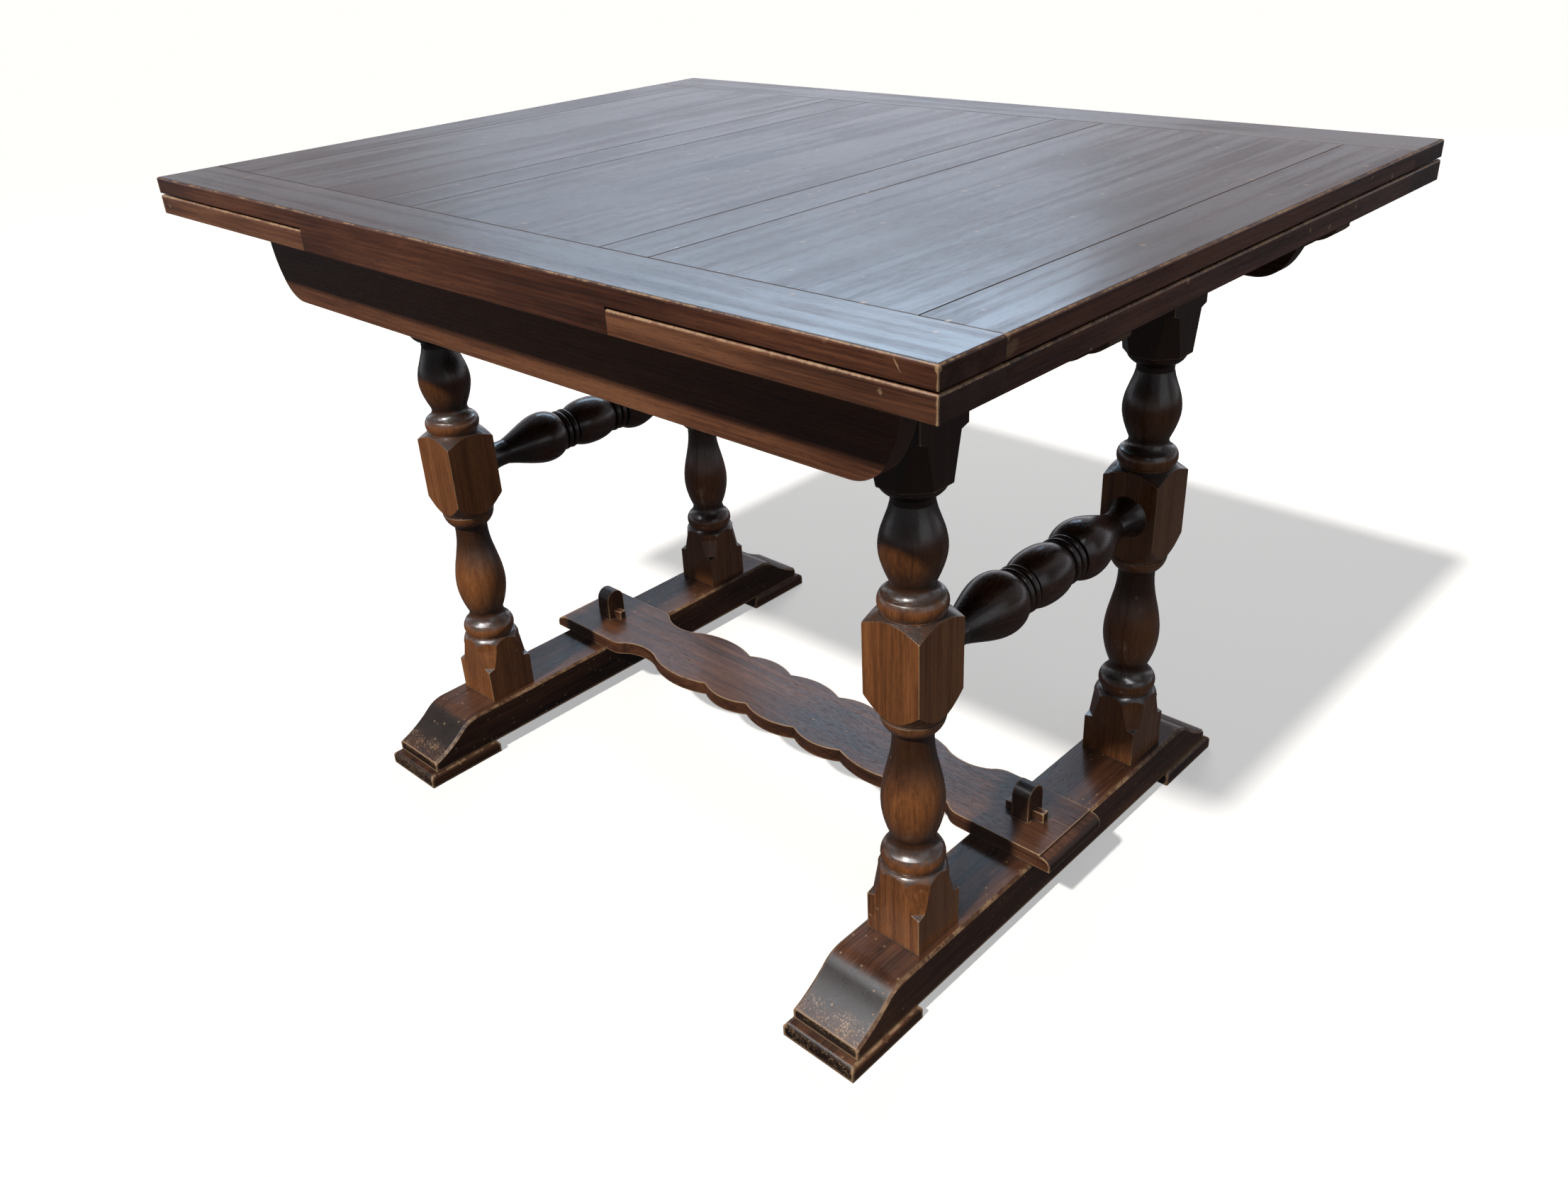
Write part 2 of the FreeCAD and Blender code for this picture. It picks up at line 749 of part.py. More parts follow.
os.makedirs("parts", exist_ok=True)
save_trestles()
save_floor_stretcher()
save_frame()
save_main_top()
for leaf in leaves:
    save_leaf(*leaf)
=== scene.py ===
# Dark oak draw-leaf table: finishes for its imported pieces, and a plain studio to show it in.
import math

import bmesh
import bpy
from mathutils import Matrix, Vector


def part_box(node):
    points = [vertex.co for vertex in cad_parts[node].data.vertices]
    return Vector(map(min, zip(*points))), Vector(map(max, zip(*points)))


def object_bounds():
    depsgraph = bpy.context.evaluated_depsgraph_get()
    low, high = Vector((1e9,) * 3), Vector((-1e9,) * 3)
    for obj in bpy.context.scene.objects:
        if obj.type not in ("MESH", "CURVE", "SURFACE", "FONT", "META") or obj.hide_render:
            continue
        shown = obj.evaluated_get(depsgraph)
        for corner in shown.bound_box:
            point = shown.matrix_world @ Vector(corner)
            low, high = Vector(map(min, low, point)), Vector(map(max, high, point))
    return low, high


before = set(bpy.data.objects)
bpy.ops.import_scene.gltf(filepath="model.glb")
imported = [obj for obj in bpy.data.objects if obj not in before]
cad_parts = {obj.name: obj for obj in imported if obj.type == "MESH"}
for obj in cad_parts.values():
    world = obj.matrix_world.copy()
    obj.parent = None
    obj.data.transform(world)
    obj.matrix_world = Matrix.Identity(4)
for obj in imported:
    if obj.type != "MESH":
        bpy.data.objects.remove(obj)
cad_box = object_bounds()

bl_info = {
    "name": "Draw-leaf table",
    "version": (1, 0, 0),
    "blender": (4, 5, 0),
    "location": "3D View > Sidebar > Table",
    "description": "Finishes an oak draw-leaf table and sets it in a plain studio",
    "category": "Object",
}

# Turns that bring a board's grain onto the first axis of its pattern
GRAIN_TURNS = {"x": (0, 0, 0), "y": (0, 0, -math.pi / 2), "z": (0, math.pi / 2, 0)}
GRAIN_AXES = {"x": (1, 0, 0), "y": (0, 1, 0), "z": (0, 0, 1)}
UPWARDS = GRAIN_AXES["z"]
SIDEWAYS = GRAIN_AXES["x"]
NO_TURN = (0, 0, 0)
ORIGIN = (0, 0, 0)

# Mean of every noise pattern
MEAN = 0.5

# Settings that properties of one kind share
COLOUR = {"subtype": "COLOR", "min": 0, "max": 1}
POWER = {"subtype": "POWER", "min": 0}
SHARE = {"min": 0, "max": 1}


class Value:
    """One output of a shader node, so that shader sums read as plain sums."""

    def __init__(self, finish, socket):
        self.finish = finish
        self.socket = socket

    def other(self, name):
        """Another output of the same node."""
        return Value(self.finish, self.socket.node.outputs[name])

    def maths(self, operation, first, second=0.0):
        return self.finish.node("ShaderNodeMath", {"operation": operation}, {0: first, 1: second})

    def __add__(self, number):
        return self.maths("ADD", self, number)

    def __radd__(self, number):
        return self.maths("ADD", number, self)

    def __sub__(self, number):
        return self.maths("SUBTRACT", self, number)

    def __rsub__(self, number):
        return self.maths("SUBTRACT", number, self)

    def __mul__(self, number):
        return self.maths("MULTIPLY", self, number)

    def __rmul__(self, number):
        return self.maths("MULTIPLY", number, self)

    def __abs__(self):
        return self.maths("ABSOLUTE", self)

    def largest(self, number):
        return self.maths("MAXIMUM", self, number)

    def smallest(self, number):
        return self.maths("MINIMUM", self, number)


class Finish:
    """The node tree of one material or of the world."""

    def __init__(self, owner):
        owner.use_nodes = True
        self.tree = owner.node_tree
        self.tree.nodes.clear()

    def node(self, kind, settings=None, inputs=None, output=0):
        """Add a node: its settings first, then the values or links of its sockets."""
        node = self.tree.nodes.new(kind)
        for name, setting in (settings or {}).items():
            if name == "stops":
                self.set_stops(node.color_ramp, setting)
            else:
                setattr(node, name, setting)
        for name, value in (inputs or {}).items():
            socket = self.find(node.inputs, name)
            if isinstance(value, Value):
                self.tree.links.new(value.socket, socket)
            elif socket.type == "RGBA":
                socket.default_value = (*value[:3], 1.0)
            else:
                socket.default_value = value
        return Value(self, self.find(node.outputs, output)) if node.outputs else node

    @staticmethod
    def find(sockets, name):
        """A socket by its number, its identifier or its name."""
        if isinstance(name, int):
            return sockets[name]
        for socket in sockets:
            if socket.identifier == name:
                return socket
        return sockets[name]

    @staticmethod
    def set_stops(ramp, stops):
        """Give a ramp its places and colours."""
        while len(ramp.elements) < len(stops):
            ramp.elements.new(1.0)
        for element, (place, colour) in zip(ramp.elements, stops):
            element.position = place
            element.color = (*colour[:3], 1.0)

    def ease(self, value, low, high):
        """A soft step from 0 at the low value to 1 at the high one."""
        return self.node(
            "ShaderNodeMapRange",
            {"interpolation_type": "SMOOTHSTEP"},
            {"Value": value, "From Min": low, "From Max": high},
        )

    def blend(self, share, first, second):
        """Mix two colours."""
        return self.node(
            "ShaderNodeMix",
            {"data_type": "RGBA"},
            {"Factor_Float": share, "A_Color": first, "B_Color": second},
            "Result_Color",
        )

    def vector(self, operation, first, second, output=0):
        """A sum on vectors."""
        settings = {"operation": operation}
        return self.node("ShaderNodeVectorMath", settings, {0: first, 1: second}, output)


class TableFinish(bpy.types.PropertyGroup):
    """Colours and sizes of the oak and its wear."""

    board_dark: bpy.props.FloatVectorProperty(
        name="Board, dark", description="Darkest stain of the top and the frame",
        default=(0.020, 0.0072, 0.0046), **COLOUR)
    board_middle: bpy.props.FloatVectorProperty(
        name="Board, middle", description="Usual stain of the top and the frame",
        default=(0.082, 0.0275, 0.0140), **COLOUR)
    board_light: bpy.props.FloatVectorProperty(
        name="Board, light", description="Thinnest stain of the top and the frame",
        default=(0.170, 0.0620, 0.0290), **COLOUR)
    leaf_dark: bpy.props.FloatVectorProperty(
        name="Leaf, dark", description="Darkest stain of the draw leaves and the aprons",
        default=(0.036, 0.0130, 0.0070), **COLOUR)
    leaf_middle: bpy.props.FloatVectorProperty(
        name="Leaf, middle", description="Usual stain of the draw leaves and the aprons",
        default=(0.140, 0.0530, 0.0260), **COLOUR)
    leaf_light: bpy.props.FloatVectorProperty(
        name="Leaf, light", description="Thinnest stain of the draw leaves and the aprons",
        default=(0.260, 0.1080, 0.0510), **COLOUR)
    turned_dark: bpy.props.FloatVectorProperty(
        name="Leg, dark", description="Darkest stain of the legs",
        default=(0.050, 0.0170, 0.0058), **COLOUR)
    turned_middle: bpy.props.FloatVectorProperty(
        name="Leg, middle", description="Usual stain of the legs",
        default=(0.250, 0.0890, 0.0265), **COLOUR)
    turned_light: bpy.props.FloatVectorProperty(
        name="Leg, light", description="Thinnest stain of the legs",
        default=(0.420, 0.1680, 0.0520), **COLOUR)
    base_dark: bpy.props.FloatVectorProperty(
        name="Base, dark", description="Darkest stain of the feet and stretchers",
        default=(0.018, 0.0075, 0.0045), **COLOUR)
    base_middle: bpy.props.FloatVectorProperty(
        name="Base, middle", description="Usual stain of the feet and stretchers",
        default=(0.076, 0.0290, 0.0140), **COLOUR)
    base_light: bpy.props.FloatVectorProperty(
        name="Base, light", description="Thinnest stain of the feet and stretchers",
        default=(0.165, 0.0670, 0.0310), **COLOUR)
    inner_dark: bpy.props.FloatVectorProperty(
        name="Inside, dark", description="Darkest oak inside the frame",
        default=(0.085, 0.050, 0.027), **COLOUR)
    inner_middle: bpy.props.FloatVectorProperty(
        name="Inside, middle", description="Usual oak inside the frame",
        default=(0.165, 0.102, 0.056), **COLOUR)
    inner_light: bpy.props.FloatVectorProperty(
        name="Inside, light", description="Palest oak inside the frame",
        default=(0.265, 0.175, 0.100), **COLOUR)
    worn: bpy.props.FloatVectorProperty(
        name="Worn edge", description="Oak where the stain is rubbed off the edges",
        default=(0.45, 0.285, 0.160), **COLOUR)
    # Grey of the wax and dust on faces that look up, partly a painted stand-in for the grey sky
    # sheen
    film_and_sheen: bpy.props.FloatVectorProperty(
        name="Wax film", description="Old grey wax on the faces that look up",
        default=(0.040, 0.032, 0.029), **COLOUR)
    # Near-black used for the dirt in seams and also as painted shade in hollows and between parts
    dirt_and_shade: bpy.props.FloatVectorProperty(
        name="Dirt", description="Old wax and dirt in seams and hollows",
        default=(0.0055, 0.0042, 0.0036), **COLOUR)
    ring_width: bpy.props.FloatProperty(
        name="Ring width", description="Distance between the growth rings",
        unit="LENGTH", min=0.001, max=0.02, default=0.0045)
    arris_round: bpy.props.FloatProperty(
        name="Arris round", description="Radius to which handling has rounded the edges",
        unit="LENGTH", min=0.0002, max=0.005, default=0.0012)
    relief_depth: bpy.props.FloatProperty(
        name="Relief", description="Depth of the open grain and the dents",
        unit="LENGTH", min=0, max=0.002, default=0.00025)


class TableStage(bpy.types.PropertyGroup):
    """Floor, lamps and camera."""

    floor: bpy.props.FloatVectorProperty(
        name="Floor", description="Colour of the floor", default=(0.80, 0.80, 0.80), **COLOUR)
    floor_glow: bpy.props.FloatProperty(
        name="Floor glow", description="Even light of the floor itself", default=0.40, **SHARE)
    key: bpy.props.FloatProperty(
        name="Key lamp", description="Strength of the lamp in front", min=0, default=3.1)
    fill: bpy.props.FloatProperty(
        name="Fill lamp", description="Power of the soft lamp on the right",
        default=11.0, **POWER)
    window: bpy.props.FloatProperty(
        name="Window", description="Power of the soft lamp behind, which the near corner mirrors",
        default=23.0, **POWER)
    back: bpy.props.FloatProperty(
        name="Back fill", description="Power of the soft lamp that lights the far sides",
        default=45.0, **POWER)
    overhead: bpy.props.FloatProperty(
        name="Overhead lamp", description="Power of the soft lamp above, which the turnings mirror",
        default=300.0, **POWER)
    room: bpy.props.FloatProperty(
        name="Room light", description="Even light from above", min=0, default=0.06)
    bounce: bpy.props.FloatProperty(
        name="Floor light", description="Light that comes back up from the floor",
        min=0, default=0.04)
    shade: bpy.props.FloatProperty(
        name="Shaded side", description="Strength of the sky in front, as the varnish mirrors it",
        default=0.35, **SHARE)
    mirrored: bpy.props.FloatProperty(
        name="Mirrored floor", description="Strength of the floor as the varnish mirrors it",
        default=0.08, **SHARE)
    backdrop: bpy.props.FloatVectorProperty(
        name="Backdrop", description="Colour behind the floor",
        default=(1.0, 1.0, 0.985), **COLOUR)
    sky: bpy.props.FloatVectorProperty(
        name="Sky", description="Pale sky that lights the table and shows in its varnish",
        default=(0.75, 0.76, 0.83), **COLOUR)
    camera_place: bpy.props.FloatVectorProperty(
        name="Camera place", description="Where the camera stands",
        subtype="TRANSLATION", unit="LENGTH", default=(0.98253, -0.99392, 1.01858))
    camera_heading: bpy.props.FloatProperty(
        name="Heading", description="Camera's turn about the upright axis",
        subtype="ANGLE", default=math.radians(44.775))
    camera_tilt: bpy.props.FloatProperty(
        name="Tilt", description="How far the camera looks down",
        subtype="ANGLE", default=math.radians(28.775))
    camera_roll: bpy.props.FloatProperty(
        name="Roll", description="Camera's turn about its own line of sight",
        subtype="ANGLE", default=math.radians(-3.174))
    camera_lens: bpy.props.FloatProperty(
        name="Lens", description="Focal length in millimetres", min=10, max=200, default=29.747)
    camera_sensor: bpy.props.FloatProperty(
        name="Sensor", description="Width of the picture in the camera, in millimetres",
        min=1, max=100, default=36.0)


class Oak(Finish):
    """Old stained oak whose grain runs along one axis of the piece."""

    # Patterns drawn out along the grain, in waves to the metre along and across it
    BLOTCHES = {"along": 3.0, "across": 9.0}
    STREAKS = {"along": 2.2, "across": 70.0, "detail": 4.0, "roughness": 0.62}
    THREADS = {"along": 13.0, "across": 420.0, "detail": 2.0, "roughness": 0.6}
    PORES = {"along": 75.0, "across": 2100.0, "detail": 1.0}
    RAYS = {"along": 26.0, "across": 130.0, "detail": 2.0}

    # Patterns without a direction, in waves to the metre
    HILLS = {"scale": 13.0, "detail": 1.0}
    SMEARS = {"scale": 7.0, "detail": 5.0, "roughness": 0.62}
    WEAR_PATCHES = {"scale": 34.0, "detail": 5.0, "roughness": 0.7}
    WEAR_GRAINS = {"scale": 240.0, "detail": 2.0}
    SCUFF_PATCHES = {"scale": 60.0, "detail": 3.0}
    MARK_FRINGE = {"scale": 160.0, "detail": 3.0}
    SCUFF_SCALE = 420.0

    # Levels of a pattern or mask between which a soft step runs
    PORE_STEP = (0.56, 0.68)
    RAY_STEP = (0.60, 0.72)
    FILM_STEP = (0.38, 0.58)
    VARNISH_STEP = (0.34, 0.64)
    SEAM_STEP = (0.14, 0.42)
    SEAM_CHAMFER_STEP = (0.05, 0.15)
    SIDE_CHAMFER_STEP = (0.10, 0.19)
    WEAR_STEP = (0.62, 0.95)
    DENT_STEP = (0.08, 0.20)
    SPECK_STEP = (0.18, 0.42)
    TOE_STEP = (0.2, 0.5)
    MARK_STEP = (0.55, 0.95)

    # Blotches, streaks, threads and rings in the colour; threads, rings, pores and hills in relief
    TONE_SHARES = (0.42, 0.30, 0.24, 0.04)
    RELIEF_SHARES = (0.5, 0.35, -0.8, 0.6)

    # Roughness that wear, seams, and the dirt and painted shade in hollows add
    WEAR_ROUGHNESS = 0.14
    GRIME_AND_SHADE_ROUGHNESS = 0.25
    SEAM_ROUGHNESS = 0.45

    # Rays sent out to find near surfaces and to round off edges
    NEAR_RAYS = 8
    ROUND_RAYS = 4

    def __init__(self, name, grain, seed, stains):
        self.material = bpy.data.materials.new(name)
        super().__init__(self.material)
        self.look = bpy.context.scene.table_finish
        self.axis = GRAIN_AXES[grain]
        self.dark, self.middle, self.light = stains
        self.rubbed = 0.0
        self.grime_and_shade = 0.0
        self.joint = 0.0
        self.dulled = 0.0
        self.spot = self.node("ShaderNodeTexCoord", output="Object")
        self.place = self.node("ShaderNodeMapping", inputs={
            "Vector": self.spot, "Rotation": GRAIN_TURNS[grain],
            "Location": self.place_in_log(seed)})

    @staticmethod
    def place_in_log(seed):
        """Where in the log a piece is cut: along it, and two ways from near its heart."""
        along = 1.7 * seed
        sideways = 0.061 + 0.37 * math.sin(5.1 * seed)
        upwards = 0.043 + 0.29 * math.cos(3.7 * seed)
        return along, sideways, upwards

    def fibres(self, along, across, detail=3.0, roughness=0.55):
        """Noise drawn out along the grain."""
        stretched = self.node("ShaderNodeMapping", inputs={
            "Vector": self.place, "Scale": (along, across, across)})
        return self.node("ShaderNodeTexNoise", inputs={
            "Vector": stretched, "Scale": 1.0, "Detail": detail, "Roughness": roughness})

    def clouds(self, scale, detail=4.0, roughness=0.6):
        """Noise without a direction."""
        return self.node("ShaderNodeTexNoise", inputs={
            "Vector": self.place, "Scale": scale, "Detail": detail, "Roughness": roughness})

    @staticmethod
    def sway(noise, amount):
        """Noise as a change up and down about nothing."""
        return amount * (noise - MEAN)

    def facing(self, way):
        """How far the surface faces one way, from 1 down to -1 for the opposite way."""
        return self.vector("DOT_PRODUCT", self.spot.other("Normal"), way, "Value")

    def part(self, axis):
        """One coordinate of the spot."""
        return self.node("ShaderNodeSeparateXYZ", inputs={"Vector": self.spot}, output=axis)

    def cover(self, share, colour):
        """Lay a colour over the wood."""
        self.colour = self.blend(share, self.colour, colour)

    def deepened(self, share):
        """The dark stain, taken down to a share of itself."""
        return [share * channel for channel in self.dark]

    @staticmethod
    def weigh(shares, patterns):
        """Patterns added up, each with its share."""
        weighed = [share * pattern for share, pattern in zip(shares, patterns)]
        return sum(weighed[1:], weighed[0])

    def grow(self, spread=0.105, ray_share=0.22, pore_share=0.6):
        """Colour and relief of the bare grain."""
        self.blotches = self.fibres(**self.BLOTCHES)
        self.streaks = self.fibres(**self.STREAKS)
        self.threads = self.fibres(**self.THREADS)
        self.pores = self.ease(self.fibres(**self.PORES), *self.PORE_STEP)
        rays = self.ease(self.fibres(**self.RAYS), *self.RAY_STEP)
        hills = self.clouds(**self.HILLS)
        rings = self.rings()
        toned = (self.blotches, self.streaks, self.threads, rings)
        tone = self.weigh(self.TONE_SHARES, toned)
        stops = (
            (MEAN - spread, self.dark),
            (MEAN, self.middle),
            (MEAN + spread, self.light),
        )
        self.colour = self.node("ShaderNodeValToRGB", {"stops": stops}, {"Fac": tone})
        self.cover(rays * ray_share, self.light)
        self.cover(self.pores * pore_share, self.dark)
        raised = (self.threads, rings, self.pores, hills)
        self.relief = self.weigh(self.RELIEF_SHARES, raised)

    def rings(self, stretch=0.09):
        """Growth rings, drawn out along the grain; the pattern has 10 / pi rings to its unit."""
        place = self.node("ShaderNodeMapping", inputs={
            "Vector": self.place, "Scale": (stretch, 1.0, 1.0)})
        settings = {"wave_type": "RINGS", "rings_direction": "X", "wave_profile": "SAW"}
        return self.node("ShaderNodeTexWave", settings, {
            "Vector": place, "Scale": math.pi / (10 * self.look.ring_width),
            "Distortion": 5.0, "Detail": 2.0, "Detail Scale": 0.25,
            "Detail Roughness": 0.55}, "Fac")

    def darken_ends(self, amount, start, fade=0.3, depth=0.55):
        """Stain drunk up by faces that cut across the grain."""
        crossing = self.ease(abs(self.facing(self.axis)), start, min(1.0, start + fade))
        self.cover(crossing * amount, self.deepened(depth))

    def darken_necks(self, axis_point, inner, outer, amount, wander=0.006, depth=0.35):
        """Old wax left in the thin places of a turning, by the distance from its axis."""
        across = [1.0 - share for share in self.axis]
        reach = self.vector("MULTIPLY", self.vector("SUBTRACT", self.spot, axis_point), across)
        radius = self.vector("LENGTH", reach, ORIGIN, "Value")
        thin = 1.0 - self.ease(radius + self.sway(self.blotches, wander), inner, outer)
        self.cover(thin * amount, self.deepened(depth))

    def paint_shade_upwards(self, low, high, amount, wander=0.10, depth=0.35, dulling=0.75):
        """Painted shade high on a leg, as under the table top: a darker colour there, and duller
        varnish.
        """
        upper = self.ease(self.part("Z") + self.sway(self.blotches, wander), low, high)
        # Painted shade: the colour darkens towards the top of the leg, as if the table top shaded
        # it
        self.cover(upper * amount, self.deepened(depth))
        self.dulled = dulling * upper

    def wax(self, amount, start=0.6, end=0.95, thinnest=0.45, patchiness=0.6):
        """Grey film of old wax and dust on the faces that look up, thinner along some streaks; in
        part a painted stand-in for the grey sky sheen on those faces.
        """
        uneven = self.streaks + self.sway(self.blotches, patchiness)
        thick = self.ease(uneven, *self.FILM_STEP)
        left = thinnest + (1.0 - thinnest) * thick
        # Partly painted sheen: faces that look up are turned grey, as well as holding real wax and
        # dust
        self.cover(self.ease(self.facing(UPWARDS), start, end) * left * amount, self.look.film_and_sheen[:])

    def soil_and_shade(self, reach, start=0.12, end=0.55, amount=0.9):
        """Dirt in seams, and painted shade in hollows and between parts, darker where near surfaces
        close a spot in.
        """
        settings = {"samples": self.NEAR_RAYS}
        open_share = self.node("ShaderNodeAmbientOcclusion", settings, {"Distance": reach}, "AO")
        self.grime_and_shade = self.ease(1.0 - open_share, start, end)
        # Painted shade: the colour darkens as ambient occlusion closes a spot in, along with the
        # real dirt in seams
        self.cover(self.grime_and_shade * amount, self.look.dirt_and_shade[:])

    def near_edge(self, width, start, end):
        """Nearness to a sharp edge of the piece."""
        inward = {"samples": self.NEAR_RAYS, "inside": True, "only_local": True}
        covered = self.node("ShaderNodeAmbientOcclusion", inward, {"Distance": width}, "AO")
        return self.ease(1.0 - covered, start, end)

    def near_sides(self, box, width, inset=0.0):
        """Nearness to the outer sides of a box that several boards share, along and across it."""
        reach = box[1][0] - inset
        depth = box[1][1] - inset
        x = self.ease(abs(self.part("X")), reach - width, reach)
        y = self.ease(abs(self.part("Y")), depth - width, depth)
        return x, y

    def seam(self, box, width, amount, strength=0.6):
        """Dark line along every edge where a board meets its neighbours, and on its chamfer."""
        up = self.facing(UPWARDS)
        outer_arris = 2.0 * width
        x, y = self.near_sides(box, outer_arris, inset=outer_arris)
        chamfer = self.ease(up * (1.0 - up), *self.SEAM_CHAMFER_STEP) * (1.0 - x.largest(y))
        self.joint = strength * self.near_edge(width, *self.SEAM_STEP).largest(chamfer)
        self.cover(self.joint * amount, self.look.dirt_and_shade[:])

    def rub(self, edge, amount, patchiness=1.1, graininess=0.5, gain=3.0):
        """Stain rubbed off where an edge mask and the patches of wear meet."""
        patches = self.clouds(**self.WEAR_PATCHES)
        grains = self.clouds(**self.WEAR_GRAINS)
        worn = edge + self.sway(patches, patchiness) + self.sway(grains, graininess)
        near = (edge * gain).smallest(1.0)
        worn = self.ease(worn, *self.WEAR_STEP) * near * (1.0 - self.grime_and_shade)
        self.cover(worn * amount, self.look.worn[:])
        self.rubbed = worn.largest(self.rubbed)

    def rub_edges(self, width, amount, start=0.16, end=0.52):
        """Wear along every sharp edge of the piece."""
        self.rub(self.near_edge(width, start, end), amount)

    def rub_chamfers(self, across, amount, strength=0.72):
        """Wear on the narrow chamfers along the sides of a piece."""
        share = abs(self.facing(across))
        chamfer = self.ease(share * (1.0 - share), *self.SIDE_CHAMFER_STEP)
        self.rub(strength * chamfer, amount)

    def rub_outline(self, box, width, amount, lower):
        """Wear along the outer arrises of a box that several boards share, less on the lower."""
        bottom = box[0][2]
        top = box[1][2]
        x, y = self.near_sides(box, width)
        height = self.part("Z")
        upper = self.ease(height, top - width, top)
        under = lower * (1.0 - self.ease(height, bottom, bottom + width))
        self.rub((x * y).largest(x.largest(y) * upper.largest(under)), amount)

    def dent(self, scale, share, amount, depth=1.5, raggedness=0.25, fineness=7.0, full=0.8):
        """Scattered small dents and chips that show paler wood."""
        chips = self.node("ShaderNodeTexVoronoi", inputs={
            "Vector": self.place, "Scale": scale, "Randomness": 1.0}, output="Distance")
        lot = self.node("ShaderNodeSeparateColor", inputs={"Color": chips.other("Color")})
        chosen = self.ease(lot, 1.0 - share, 1.0 - full * share)
        fringe = self.clouds(scale=fineness * scale, detail=2.0)
        ragged = chips + self.sway(fringe, raggedness)
        spots = (1.0 - self.ease(ragged, *self.DENT_STEP)) * chosen
        self.cover(spots * amount, self.look.worn[:])
        self.relief = self.relief - depth * spots

    def scuff(self, low, high, amount, fade_share=0.3, patchiness=1.2):
        """Fine pale scuffs between two levels, on faces that cut across the grain."""
        height = self.part("Z")
        fade = fade_share * (high - low)
        band = self.ease(height, low, low + fade) * (1.0 - self.ease(height, high - fade, high))
        grains = self.node("ShaderNodeTexVoronoi", inputs={
            "Vector": self.place, "Scale": self.SCUFF_SCALE})
        ragged = grains + self.sway(self.clouds(**self.SCUFF_PATCHES), patchiness)
        specks = 1.0 - self.ease(ragged, *self.SPECK_STEP)
        toes = self.ease(abs(self.facing(self.axis)), *self.TOE_STEP)
        self.cover(specks * band * toes * amount, self.look.worn[:])

    def mark(self, place, size, turn, amount, raggedness=1.3):
        """One ragged worn mark of a given size and direction at a given spot."""
        local = self.node("ShaderNodeMapping", {"vector_type": "TEXTURE"}, {
            "Vector": self.spot, "Location": place, "Rotation": turn, "Scale": size})
        distance = self.vector("LENGTH", local, ORIGIN, "Value")
        ragged = distance + self.sway(self.clouds(**self.MARK_FRINGE), raggedness)
        inside = 1.0 - self.ease(ragged, *self.MARK_STEP)
        self.cover(inside * amount, self.look.worn[:])

    def varnished(self, amount, smears, thinnest=0.40, patchiness=0.7):
        """Varnish worn thin along some streaks, and gone from worn edges, seams and dull places."""
        uneven = self.streaks + self.sway(smears, patchiness)
        thick = self.ease(uneven, *self.VARNISH_STEP)
        left = amount * (thinnest + (1.0 - thinnest) * thick)
        for bare in (self.rubbed, self.joint, self.dulled):
            left = left * (1.0 - bare)
        return left

    def polish(self, gloss, specular, varnish=0.0, uneven=0.10):
        """Close the material with its wax, and its varnish where it has one."""
        smears = self.clouds(**self.SMEARS)
        rough = gloss + self.sway(smears, uneven) + self.sway(self.streaks, uneven)
        rough = rough + uneven * self.pores
        rough = rough + self.WEAR_ROUGHNESS * self.rubbed
        rough = rough + self.GRIME_AND_SHADE_ROUGHNESS * self.grime_and_shade
        rough = rough + self.SEAM_ROUGHNESS * self.joint
        rounded = self.node("ShaderNodeBevel", {"samples": self.ROUND_RAYS}, {
            "Radius": self.look.arris_round})
        normal = self.node("ShaderNodeBump", inputs={
            "Strength": 0.35, "Distance": self.look.relief_depth,
            "Height": self.relief, "Normal": rounded})
        shader = self.node("ShaderNodeBsdfPrincipled", inputs={
            "Base Color": self.colour, "Roughness": rough, "Normal": normal,
            "Specular IOR Level": specular, "Coat Roughness": 0.20,
            "Coat Weight": self.varnished(varnish, smears) if varnish else 0.0})
        self.node("ShaderNodeOutputMaterial", inputs={"Surface": shader})
        return self.material


def dress(node, material):
    """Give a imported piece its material."""
    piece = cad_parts[node]
    piece.data.materials.clear()
    piece.data.materials.append(material)


def middle_of(node):
    """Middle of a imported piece."""
    low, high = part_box(node)
    return ((low + high) / 2)[:]


def stains(kind):
    """Dark, middle and light stain of one kind of piece."""
    look = bpy.context.scene.table_finish
    return [getattr(look, kind + "_" + depth)[:] for depth in ("dark", "middle", "light")]


def nodes_named(*starts):
    """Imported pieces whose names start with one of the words, in a fixed order."""
    return [name for name in sorted(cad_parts) if name.startswith(starts)]


def shared_box(node):
    """The table's outline from above, with the piece's own levels."""
    low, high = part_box(node)
    return (*cad_box[0][:2], low.z), (*cad_box[1][:2], high.z)


class TABLE_OT_dress_main_top(bpy.types.Operator):
    """Rails, cleats, muntins and panels of the loose top"""
    bl_idname = "table.dress_main_top"
    bl_label = "Finish the main top"
    first_seed = 1.0

    # Old knocks: place, size, turn and strength
    marks = {
        "top_rail_front": (
            ((0.5065, -0.4065, 0.7556), (0.0009, 0.004, 0.0085), (0, -0.6, 0), 0.8),
            ((0.5375, -0.4060, 0.7590), (0.0030, 0.004, 0.0030), NO_TURN, 0.9),
        ),
        "top_cleat_right": (
            ((0.538, -0.3310, 0.7520), (0.004, 0.010, 0.006), (0.3, 0, 0), 0.28),
        ),
    }

    def execute(self, context):
        for number, node in enumerate(nodes_named("top_")):
            grain = "x" if node.startswith("top_rail") else "y"
            box = shared_box(node)
            wood = Oak(node, grain, self.first_seed + number, stains("board"))
            wood.grow()
            wood.darken_ends(amount=0.5, start=0.6)
            wood.wax(amount=0.80)
            wood.seam(box, width=0.0011, amount=0.8)
            wood.soil_and_shade(reach=0.0015)
            wood.dent(scale=60.0, share=0.16, amount=0.50)
            wood.rub_outline(box, width=0.0035, amount=0.80, lower=0.3)
            for mark in self.marks.get(node, ()):
                wood.mark(*mark)
            dress(node, wood.polish(gloss=0.36, specular=0.20, varnish=0.58))
        return {"FINISHED"}


